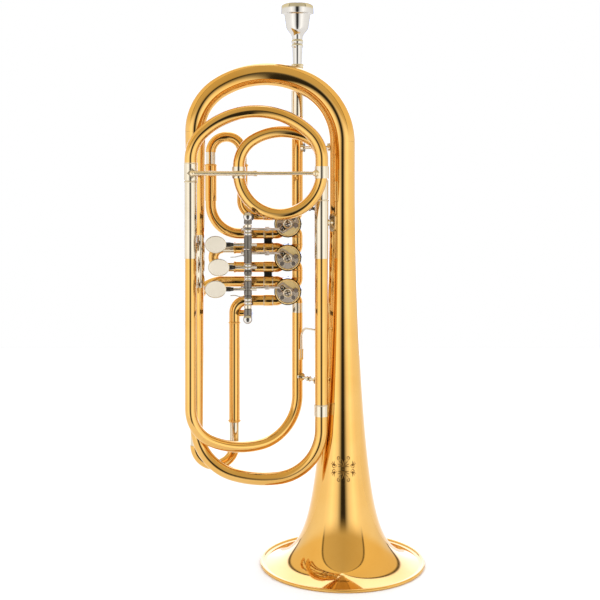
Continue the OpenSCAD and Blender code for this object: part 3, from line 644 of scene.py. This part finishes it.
def make_slide_bows():
    """The three bows that the player pulls: first up, third down, second sideways."""
    wall = 0.72
    for name in ("first_slide", "third_slide"):
        node = name + "_bow"
        left = low(node).x + SLIDE_R
        right = high(node).x - SLIDE_R
        up = name == "first_slide"
        level = low(node).z if up else high(node).z
        path = half_round((left, middle(node).y), (right, middle(node).y), level, up)
        place(joined(node + "_tube", [swept(path, SLIDE_R, wall, segments=56)]),
              name, BRASS, "lacquered_brass", node)
    node = "second_slide_bow"
    y, z, x = middle(node).y, middle(node).z, high(node).x
    path = [Vector((x - PORT_OFF * math.sin(math.radians(t)), y, z + PORT_OFF * math.cos(math.radians(t))))
            for t in range(0, 181, 3)]
    place(joined(node + "_tube", [swept(path, SLIDE_R, wall, segments=56)]),
          "second_slide", BRASS, "lacquered_brass", node)


make_slide_bows()


# ---------- mouthpiece and receiver ----------

def make_mouthpiece():
    """Turned outline from the shank up the outside, over the rim and down the cup to the bore."""
    base = low("mouthpiece").z
    rim_r = (high("mouthpiece").x - low("mouthpiece").x) / 2
    beads = [(5.0, 31.2), (5.7, 32.0), (5.95, 33.2), (5.7, 34.4), (5.1, 35.0),
             (5.7, 35.7), (5.95, 37.0), (5.7, 38.4), (5.1, 39.2)]
    cup = [(5.25, 41), (6.0, 43), (8.4, 46), (10.2, 48.6), (11.0, 51), (11.6, 55), (12.3, 59), (12.7, 61.4)]
    rim = [(13.2, 61.9), (rim_r - 0.5, 62.3), (rim_r, 63.1), (rim_r, 67.4)]
    for k in range(1, 13):
        angle = math.radians(180 * k / 13)
        rim.append((rim_r - 2.85 + 2.85 * math.cos(angle), 69.2 + 2.8 * math.sin(angle)))
    bowl = [(10.0, 69.4), (9.7, 67), (9.1, 62), (7.9, 57), (5.9, 52), (3.6, 47.6), (2.2, 44), (2.2, 38),
            (3.5, 0)]
    outline = ([(4.12, 0), (4.45, 16), (4.95, 31)] + beads + smooth_profile(cup, 4) + rim
               + smooth_profile(bowl, 3))
    place(joined("mouthpiece_body", [turned(outline, (*MAIN, base), segments=128)]),
          "mouthpiece_body", SILVER, "silver_plate", "mouthpiece")


def make_receiver():
    """Nickel sleeve with a double ring at its mouth."""
    base = low("mouthpiece_receiver").z
    outline = [(4.76, 0), (5.45, 0), (5.5, 0.3), (5.5, 20.4), (5.62, 20.8), (5.9, 21.1), (5.9, 22.0),
               (5.65, 22.4), (5.75, 22.8), (6.08, 23.2), (6.1, 24.3), (5.9, 24.8), (4.52, 24.8), (4.2, 8),
               (4.76, 7.8)]
    place(joined("receiver_sleeve", [turned(outline, (*MAIN, base), segments=96)]),
          ROOT, NICKEL, "nickel_silver", "mouthpiece_receiver")


make_mouthpiece()
make_receiver()


# ---------- fixed valve slide tubes ----------

SLIDE_TUBE_R, SLIDE_TUBE_WALL = TUBE_R, 0.5
CASING_X = high("first_slide_tubes").x + 0.4
# Where the sleeve on each valve port begins and ends.
RING_NEAR, RING_FAR = -64.1, -73.2
FIRST_COLLAR_Z = 334
FIRST_BEND_R = (27.2, 13)
THIRD_BEND_R = (25, 12)
THIRD_FOOT_Z = (129.9, 127)
THIRD_SEAM_Z = 218.9
LOWER_POST_SEAT_Z = 229.0
FIRST_X = [low("first_slide_bow").x + SLIDE_R, high("first_slide_bow").x - SLIDE_R]
THIRD_X = [low("third_slide_bow").x + SLIDE_R, high("third_slide_bow").x - SLIDE_R]
SLIDE_Y = middle("second_slide_bow").y


def tube_run(corners, radii):
    return swept(filleted(corners, radii), SLIDE_TUBE_R, SLIDE_TUBE_WALL, segments=56)


def collar(base, axis, length, beads=(), extra=0.45):
    """Short sleeve round a slide tube, standing proud of it by extra."""
    return turned(band(SLIDE_TUBE_R - 0.1, SLIDE_TUBE_R + extra, length, beads=beads), base, axis)


def ports(number):
    """Heights of the lower and upper slide port of a valve."""
    return VALVE_Z[number - 1] - PORT_OFF, VALVE_Z[number - 1] + PORT_OFF


def make_slide_tubes():
    """Outer tubes of the three valve slides, their collars, and the sleeve on each port."""
    y = SLIDE_Y
    top = high("first_slide_tubes").z
    brass = [tube_run([(CASING_X, y, z), (x, y, z), (x, y, top)], [bend])
             for x, z, bend in zip(FIRST_X, ports(1), FIRST_BEND_R)]
    brass += [collar((FIRST_X[0], y, FIRST_COLLAR_Z), Z_AXIS, top - FIRST_COLLAR_Z,
                     beads=(top - FIRST_COLLAR_Z - 1,)),
              collar((FIRST_X[1], y, top - 2.2), Z_AXIS, 2.2, beads=(1.2,))]
    place(joined("first_slide_outer_tubes", brass), ROOT, BRASS, "lacquered_brass", "first_slide_tubes")

    end = low("second_slide_tubes").x
    brass = []
    for z in ports(2):
        brass += [tube_run([(CASING_X, y, z), ((CASING_X + end) / 2, y, z), (end, y, z)], [0.01]),
                  collar((end, y, z), X_AXIS, 1.8)]
    place(joined("second_slide_outer_tubes", brass), ROOT, BRASS, "lacquered_brass", "second_slide_tubes")

    brass = [collar((THIRD_X[1], y, THIRD_SEAM_Z), Z_AXIS, 2.6, beads=(1.3,), extra=0.2)]
    for x, z, foot, bend in zip(THIRD_X, reversed(ports(3)), THIRD_FOOT_Z, THIRD_BEND_R):
        brass += [tube_run([(CASING_X, y, z), (x, y, z), (x, y, foot)], [bend]),
                  collar((x, y, foot), Z_AXIS, 2.6, beads=(1.3,))]
    place(joined("third_slide_outer_tubes", brass), ROOT, BRASS, "lacquered_brass", "third_slide_tubes")

    rings, sleeves = [], []
    for number in (1, 2, 3):
        for z in ports(number):
            sleeves.append(collar((RING_FAR, y, z), X_AXIS, RING_NEAR - RING_FAR, extra=0.35))
            for x in (RING_FAR, RING_NEAR - 0.9):
                rings.append(collar((x, y, z), X_AXIS, 0.9, extra=0.65))
    place(joined("port_sleeves", sleeves), ROOT, BRASS, "lacquered_brass")
    place(joined("port_sleeve_rings", rings), ROOT, NICKEL, "nickel_silver")

    lug = turned([(0, 0), (2.6, 0), (3.1, 0.5), (3.1, 4.4), (2.4, 5.2), (1.9, 9.4), (0, 9.4)],
                 (THIRD_X[1] + SLIDE_TUBE_R - 0.6, y, LOWER_POST_SEAT_Z), X_AXIS, segments=40, loop=False)
    place(joined("post_lug", [lug]), ROOT, BRASS, "lacquered_brass")


make_slide_tubes()


# ---------- valve plates, cranks and links ----------

CRANK_R, CRANK_PIN_ANGLE = 6.6, 135
# Known fault: the CAD crank's back face is at high("crank_1").y, and taking off
# CRANK_SHIFT draws all three cranks that far in front of it. With 0 they match the CAD.
CRANK_SHIFT = 12.0
CRANK_FACE_Y = high("crank_1").y - CRANK_SHIFT
PLATE_BACK_Y = high("valve_front_plates").y
PLATE_R, PLATE_HOLE = 11.5, 3.05
FRONT = Vector((0, -1, 0))
INSERT_R, INSERT_ARM = 2.0, 7.4
LINK_EYE_R = 3.2
# The six-sided nut begins and ends this far along the link from its eye.
NUT_START, NUT_END = 19.0, 22.8


def valve_sign(number):
    """Valve 1 is built upside down to valves 2 and 3."""
    return -1 if number == 1 else 1


def on_plate(number, angle, distance, y):
    """Point at an angle and distance from a valve's axis, in the plane at y."""
    a = math.radians(angle)
    return Vector((VALVE_X + distance * math.cos(a), y,
                   VALVE_Z[number - 1] + valve_sign(number) * distance * math.sin(a)))


def plate_outline(outline, number, back_y, front_y):
    """Flat plate from (across, up) points around the valve axis, with a narrow bevel at the front edge."""
    sign, bevel = valve_sign(number), 0.25
    rings = []
    for y, shrink in ((back_y, 0.0), (front_y + bevel, 0.0), (front_y, bevel)):
        ring = []
        for x, z in outline:
            size = math.hypot(x, z) or 1
            ring.append(Vector((VALVE_X + x * (1 - shrink / size), y,
                                VALVE_Z[number - 1] + sign * z * (1 - shrink / size))))
        rings.append(ring)
    return skin(rings, False)


def round_ring(centre, radius, thick):
    """Raised ring round an insert, standing on the plate."""
    profile = [(0, -0.2), (1, -0.2), (1, 0.1), (0.8, 0.28), (0.5, 0.34), (0.2, 0.28), (0, 0.1)]
    return turned([(radius + thick * share, height) for share, height in profile], centre, FRONT, segments=40)


def inlay_points():
    """Disc cut off by a slanting chord; the brass of the cap shows above it."""
    radius, chord = 10.3, 5.0
    normal = Vector((0.55, 0.835))
    points = []
    for k in range(96):
        angle = math.tau * k / 96
        point = Vector((radius * math.cos(angle), radius * math.sin(angle)))
        over = point.dot(normal) - chord
        points.append(point - normal * over if over > 0 else point)
    return points


def make_valve_plates():
    """Front of each valve: cap with a raised edge, grey inlay, and rings round the stop inserts."""
    caps, inlays, rings, inserts = [], [], [], []
    face_y = low("valve_front_plates").y
    for number in (1, 2, 3):
        base = Vector((VALVE_X, PLATE_BACK_Y, VALVE_Z[number - 1]))
        rim = [(0, 0), (0, 1.7), (0.15, 2.05), (0.5, 2.2), (0.85, 2.05), (1.0, 1.7), (1.2, 1.5)]
        cap = [(PLATE_HOLE, 0)] + [(PLATE_R - inset, height) for inset, height in rim] + [(PLATE_HOLE, 1.5)]
        caps.append(turned(cap, base, FRONT, segments=96))
        inlays.append(plate_outline(inlay_points(), number, face_y + 0.5, face_y))
        for angle in (10, 170, -45, -135):
            spot = on_plate(number, angle, INSERT_ARM, face_y)
            rings.append(round_ring(spot, INSERT_R + 0.06, 0.5))
            if angle < 0:
                button = [(0, -0.3), (INSERT_R, -0.3), (INSERT_R, 0.05), (INSERT_R - 0.4, 0.15), (0.8, 0.1),
                          (0, 0.1)]
                inserts.append(turned(button, spot, FRONT, segments=32, loop=False))
    place(joined("valve_caps", caps), ROOT, PALE_BRASS, "nickel_silver", "valve_front_plates")
    place(joined("valve_cap_inlays", inlays), ROOT, GREY_NICKEL, "nickel_silver")
    place(joined("valve_insert_rings", rings), ROOT, NICKEL, "nickel_silver")
    place(joined("valve_inserts", inserts), ROOT, INSERT, "cork")


def stadium(a, b, radius_a, radius_b, back_y, front_y):
    """Flat arm with round ends between two points of the plane y = constant."""
    direction = (b - a).normalized()
    across = Vector((-direction.z, 0, direction.x))
    rings = []
    for y, shrink in ((back_y, 0.15), (back_y - 0.2, 0.0), (front_y + 0.3, 0.0), (front_y, 0.35)):
        ring = []
        for centre, radius, first in ((b, radius_b - shrink, -90), (a, radius_a - shrink, 90)):
            for k in range(17):
                angle = math.radians(first + 180 * k / 16)
                point = centre + (direction * math.cos(angle) + across * math.sin(angle)) * radius
                ring.append(Vector((point.x, y, point.z)))
        rings.append(ring)
    return skin(rings, False)


def make_crank(number):
    """Hub with its stop arm, the link pin, and the screw on the hub, its slot drawn as dark bars of painted
    shade.
    """
    body = "rotor_%d_body" % number
    hub = on_plate(number, 0, 0, CRANK_FACE_Y)
    pin = on_plate(number, CRANK_PIN_ANGLE, CRANK_R, CRANK_FACE_Y)
    shells = [
        turned([(3.0, 0), (3.9, 0), (4.1, 0.2), (4.1, 3.2), (3.95, 3.6), (3.6, 3.85), (3.2, 3.7), (3.0, 3.3),
                (2.5, 3.1), (2.5, 0.6), (3.0, 0.6)], hub, FRONT, segments=56),
        stadium(hub, pin, 3.2, 2.3, CRANK_FACE_Y - 0.2, CRANK_FACE_Y - 2.8),
        turned([(0, 1.0), (1.2, 1.0), (1.2, 11.6), (1.0, 12.0), (0, 12.0)], pin, FRONT, segments=32,
               loop=False)]
    place(joined("crank_%d_arm" % number, shells), body, NICKEL, "nickel_silver", "crank_%d" % number)
    head = [turned([(0, 2.6), (2.45, 2.6), (2.45, 3.5), (2.1, 4.1), (1.2, 4.5), (0, 4.6)], hub, FRONT,
                   segments=40, loop=False)]
    place(joined("crank_%d_screw" % number, head), body, GREY_NICKEL, "nickel_silver")
    # The slot is not cut: two dark bars lie on the screw head as painted shade where the slot's shade falls.
    slot = []
    for turn in (20, 110):
        a = math.radians(turn)
        along = Vector((math.cos(a), 0, math.sin(a)))
        slot.append(stadium(hub - along * 1.5, hub + along * 1.5, 0.62, 0.62,
                            CRANK_FACE_Y - 3.9, CRANK_FACE_Y - 4.66))
    place(joined("crank_%d_screw_slot" % number, slot), body, DARK_STEEL_AND_SLOT_SHADE, "nickel_silver")


def link_eye(number):
    """Centre of the eye at the lever's end of a link."""
    node = "link_%d" % number
    return Vector((low(node).x + LINK_EYE_R, middle(node).y, middle(node).z))


def make_link(number):
    """Rod from the lever's pin to the crank's pin, with an eye, a nut and a socket."""
    node = "link_%d" % number
    body = node + "_body"
    eye = link_eye(number)
    pin = on_plate(number, CRANK_PIN_ANGLE, CRANK_R, eye.y)
    ring = [(1.95, -1.1), (2.9, -1.1), (LINK_EYE_R, -0.8), (LINK_EYE_R, 0.8), (2.9, 1.1), (1.95, 1.1)]
    reach = pin.x - eye.x
    stem_end = NUT_START - 0.8
    stem = [(0, 2.5), (1.5, 2.5), (1.5, 3.6), (1.15, 4.2), (1.15, stem_end), (0, stem_end)]
    rod = [turned(ring, eye, Z_AXIS, segments=48), turned(stem, eye, X_AXIS, segments=32, loop=False)]
    place(joined(node + "_rod", rod), body, STEEL, "steel", node)
    nut = [(0, NUT_START - 1), (1.25, NUT_START - 1), (1.25, NUT_START), (2.0, NUT_START),
           (2.1, NUT_START + 0.3), (2.1, NUT_END - 0.3), (2.0, NUT_END), (1.35, NUT_END),
           (1.2, NUT_END + 0.6), (1.2, reach - 3.4), (1.7, reach - 2.6), (0, reach - 2.6)]
    far = [turned(nut, eye, X_AXIS, segments=6, loop=False),
           turned([(1.23, -2.4), (2.7, -2.4), (3.0, -2.1), (3.0, 2.0), (2.85, 2.3), (2.5, 2.4), (2.2, 2.25),
                   (1.9, 1.9), (1.23, 1.8)], pin, FRONT, segments=48)]
    place(joined(node + "_socket", far), body, GREY_NICKEL, "steel")


make_valve_plates()
for valve in (1, 2, 3):
    make_crank(valve)
    make_link(valve)


# ---------- finger levers and their axle ----------

AXLE_HOLE = 1.55
HUB_R = 3.5
# Lathe work on the axle as (kind, lower height, upper height): dark barrels, bright beads, plain rings.
HUB_PARTS = {
    1: [("barrel", 290.4, 301.9), ("beads", 302.1, 308.0), ("barrel", 308.1, 309.0), ("ring", 309.1, 312.2)],
    2: [("barrel", 270.6, 271.6), ("beads", 271.7, 277.2), ("barrel", 277.6, 289.6)],
    3: [("barrel", 249.0, 253.6), ("neck", 253.6, 256.0), ("barrel", 256.0, 261.9), ("ring", 262.0, 263.0)],
}
FIXED_PARTS = [("barrel", 312.5, 316.4), ("beads", 263.3, 267.2), ("barrel", 267.4, 270.4),
               ("beads", 241.1, 246.9), ("barrel", 247.1, 248.8), ("ring", 237.2, 240.8),
               ("barrel", 229.0, 237.0)]
# The CAD touch is a 14.6 mm high oval, and it is the lowest part of its lever.
TOUCH_Z = [low("lever_%d" % n).z + 7.3 for n in (1, 2, 3)]
TOUCH_HALF_W, TOUCH_HALF_H = 9.45, 7.7
TOUCH_SHIFT = {1: 0.0, 2: 2.8, 3: 0.0}
LEVER_ROD_X, LEVER_ROD_LENGTH = -100.6, 23.2
SOCKET_X = -106.4
# Upper and lower post: height, and how far each reaches back from the axle.
POSTS = ((319.0, 45.4), (228.2, 51.4))
POST_FOOT_Y = 4.4
# Height of each spring wire's tip and root.
SPRING_TAILS = ((282.9, 284.6), (248.8, 247.9))


def axle_part(kind, z0, z1):
    """One turned part on the axle, of a kind listed above."""
    height = z1 - z0
    if kind == "barrel":
        r = HUB_R
        outer = [(r - 0.35, 0), (r, 0.3), (r, height - 0.3), (r - 0.35, height)]
    elif kind == "neck":
        outer = [(2.9, 0), (2.9, height)]
    elif kind == "ring":
        r = HUB_R - 0.1
        outer = [(r - 0.4, 0), (r, 0.5), (r, height - 0.5), (r - 0.4, height)]
    else:
        angles = [math.pi * k / 12 for k in range(13)]
        outer = [(2.35 + 1.1 * math.sin(a), height * (lobe + 0.5 - 0.5 * math.cos(a)) / 2)
                 for lobe in (0, 1) for a in angles]
    return turned([(AXLE_HOLE, 0)] + outer + [(AXLE_HOLE, height)], (*AXLE, z0), segments=48)


def axle_column(name, body, parts, slot, *nodes):
    """Dark and bright lathe work on the lever axle, as one piece per finish."""
    dark = [axle_part(*part) for part in parts if part[0] in ("barrel", "neck")]
    bright = [axle_part(*part) for part in parts if part[0] == "beads"]
    plain = [axle_part(*part) for part in parts if part[0] == "ring"]
    place(joined(name + "_barrels", dark), body, GREY_STEEL_AND_CROSS_SHADE, slot, *nodes)
    if bright:
        place(joined(name + "_beads", bright), body, SILVER, slot)
    if plain:
        place(joined(name + "_rings", plain), body, NICKEL, slot)


def link_arm(eye, level):
    """Flat arm from the lever's hub out to its link pin, level with the floor."""
    direction = (eye - AXLE).normalized()
    across = Vector((-direction.y, direction.x))
    rings = []
    for height, shrink in ((-1.25, 0.2), (-1.05, 0), (1.05, 0), (1.25, 0.2)):
        ring = []
        for centre, radius, first in ((eye, 2.6 - shrink, -90), (AXLE + direction * 2, 1.7 - shrink, 90)):
            for k in range(13):
                a = math.radians(first + 180 * k / 12)
                point = centre + (direction * math.cos(a) + across * math.sin(a)) * radius
                ring.append(Vector((*point, level + height)))
        rings.append(ring)
    return skin(rings, False)


def make_lever(number):
    """Hub parts on the axle, the rod and arm that they carry, and the oval touch."""
    node = "lever_%d" % number
    body = node + "_body"
    axle_column(node, body, HUB_PARTS[number], "steel", node)
    z = TOUCH_Z[number - 1]
    centre = Vector((low(node).x + TOUCH_HALF_W + TOUCH_SHIFT[number], low(node).y, z))

    rod_y = AXLE.y - 0.4
    end = LEVER_ROD_LENGTH
    rods = [turned([(0, 0), (1.1, 0), (1.35, 0.3), (1.35, end - 0.4), (1.1, end), (0, end)],
                   (LEVER_ROD_X, rod_y, z), X_AXIS, segments=32, loop=False)]
    eye = link_eye(number)
    rods.append(link_arm(eye.xy, eye.z + valve_sign(number) * 2.85))
    rods.append(turned([(0, -3.4), (1.0, -3.4), (1.2, -3.1), (1.2, 3.1), (1.0, 3.4), (0, 3.4)],
                       (eye.x, eye.y, eye.z + valve_sign(number) * 0.4), Z_AXIS, segments=24, loop=False))
    place(joined(node + "_rods", rods), body, STEEL, "steel")

    socket = turned([(0, 0), (1.7, 0), (2.1, 0.4), (2.1, 5.4), (1.8, 5.8), (1.5, 8.4), (0, 8.4)],
                    (SOCKET_X + TOUCH_SHIFT[number] * 0.6, rod_y, z), X_AXIS, segments=32, loop=False)
    place(joined(node + "_socket", [socket]), body, DARK_STEEL_AND_SLOT_SHADE, "steel")

    r = TOUCH_HALF_H
    cup = [(0, -3.0), (r - 1.6, -3.0), (r - 0.5, -2.4), (r, -1.6), (r, -0.9), (r - 0.25, -0.6),
           (r - 0.6, -0.7), (0, -0.7)]
    face = [(0, -1.0), (r - 0.65, -1.0), (r - 0.55, -0.6), (r - 0.9, -0.32), (r - 1.8, -0.14),
            (r - 3.5, -0.04), (0, 0.0)]
    for part, profile, material in (("cup", cup, NICKEL), ("face", face, TOUCH)):
        verts, faces = turned(profile, (0, 0, 0), FRONT, segments=96, loop=False)
        verts = [Vector((v.x * TOUCH_HALF_W / r, v.y, v.z)) + centre for v in verts]
        place(joined("%s_touch_%s" % (node, part), [(verts, faces)]), body, material, "steel")


def make_axle():
    """Fixed parts of the axle: sleeves, posts, cross-slotted screws and the spring wires' tails. The screws'
    crosses are not cut but laid on as dark bars of painted shade.
    """
    axle_column("axle_sleeves", ROOT, FIXED_PARTS, "steel", "lever_springs")
    screw_y = low("axle_posts").y
    stalks, domes, crosses, tails = [], [], [], []
    for post_z, reach in POSTS:
        base = Vector((AXLE.x, AXLE.y, post_z))
        stalk = [(0, -4.0), (3.4, -4.0), (3.9, -3.5), (4.0, -1.0), (3.8, 2.6), (2.2, 4.2), (2.0, 5.6),
                 (2.0, reach - 1.0), (1.7, reach), (0, reach)]
        stalks.append(turned(stalk, base, Y_AXIS, segments=48, loop=False))
        face = Vector((AXLE.x, screw_y, post_z))
        dome = [(0, -0.2), (3.3, -0.2), (3.5, 0.1), (3.4, 0.5), (2.9, 0.95), (2.0, 1.25), (1.0, 1.38),
                (0, 1.4)]
        domes.append(turned(dome, face, FRONT, segments=56, loop=False))
        # Painted shade: two dark bars on each dome stand for the shade in its cross slot.
        for turn in (14, 104):
            a = math.radians(turn)
            along = Vector((math.cos(a), 0, math.sin(a))) * 1.15
            crosses.append(stadium(face - along, face + along, 0.62, 0.62, screw_y - 0.6, screw_y - 1.41))
    foot = Vector((AXLE.x, POST_FOOT_Y, POSTS[0][0]))
    stalks.append(turned([(0, 0), (3.2, 0), (3.6, 0.4), (3.6, 4.6), (3.2, 5.0), (0, 5.0)], foot, Y_AXIS,
                         segments=48, loop=False))
    for tip_z, root_z in SPRING_TAILS:
        wire = [(-101.0, -34.6, tip_z), (-97.0, -34.0, tip_z + 0.2), (-92.0, -33.2, root_z - 0.3),
                (-87.6, -33.0, root_z)]
        tails.append(swept([Vector(point) for point in wire], 0.42, segments=12))
    place(joined("axle_post_heads", stalks), ROOT, GREY_STEEL_AND_CROSS_SHADE, "nickel_silver", "axle_posts")
    place(joined("axle_screw_domes", domes), ROOT, SILVER, "steel", "axle_post_screws")
    place(joined("axle_screw_cross_shade", crosses), ROOT, GREY_STEEL_AND_CROSS_SHADE, "steel")
    place(joined("spring_tails", tails), ROOT, STEEL, "steel")


for lever in (1, 2, 3):
    make_lever(lever)
make_axle()


# ---------- finish of every CAD piece that stays ----------

def finish_cad():
    """Gives each CAD piece its metal and smooth shading."""
    slots = {row["node"]: row["material_slot"] for row in frame["record"]["subparts"]}
    special = {"slide_spacers": DARK_STEEL_AND_SLOT_SHADE, "valve_brace": DARK_STEEL_AND_SLOT_SHADE, "tuning_slide_brace": SATIN_NICKEL}
    for node, obj in frame["nodes"].items():
        obj.data.materials.clear()
        obj.data.materials.append(special.get(node, SLOT_MATERIAL[slots[node]]))
        obj.data.polygons.foreach_set("use_smooth", [True] * len(obj.data.polygons))


finish_cad()
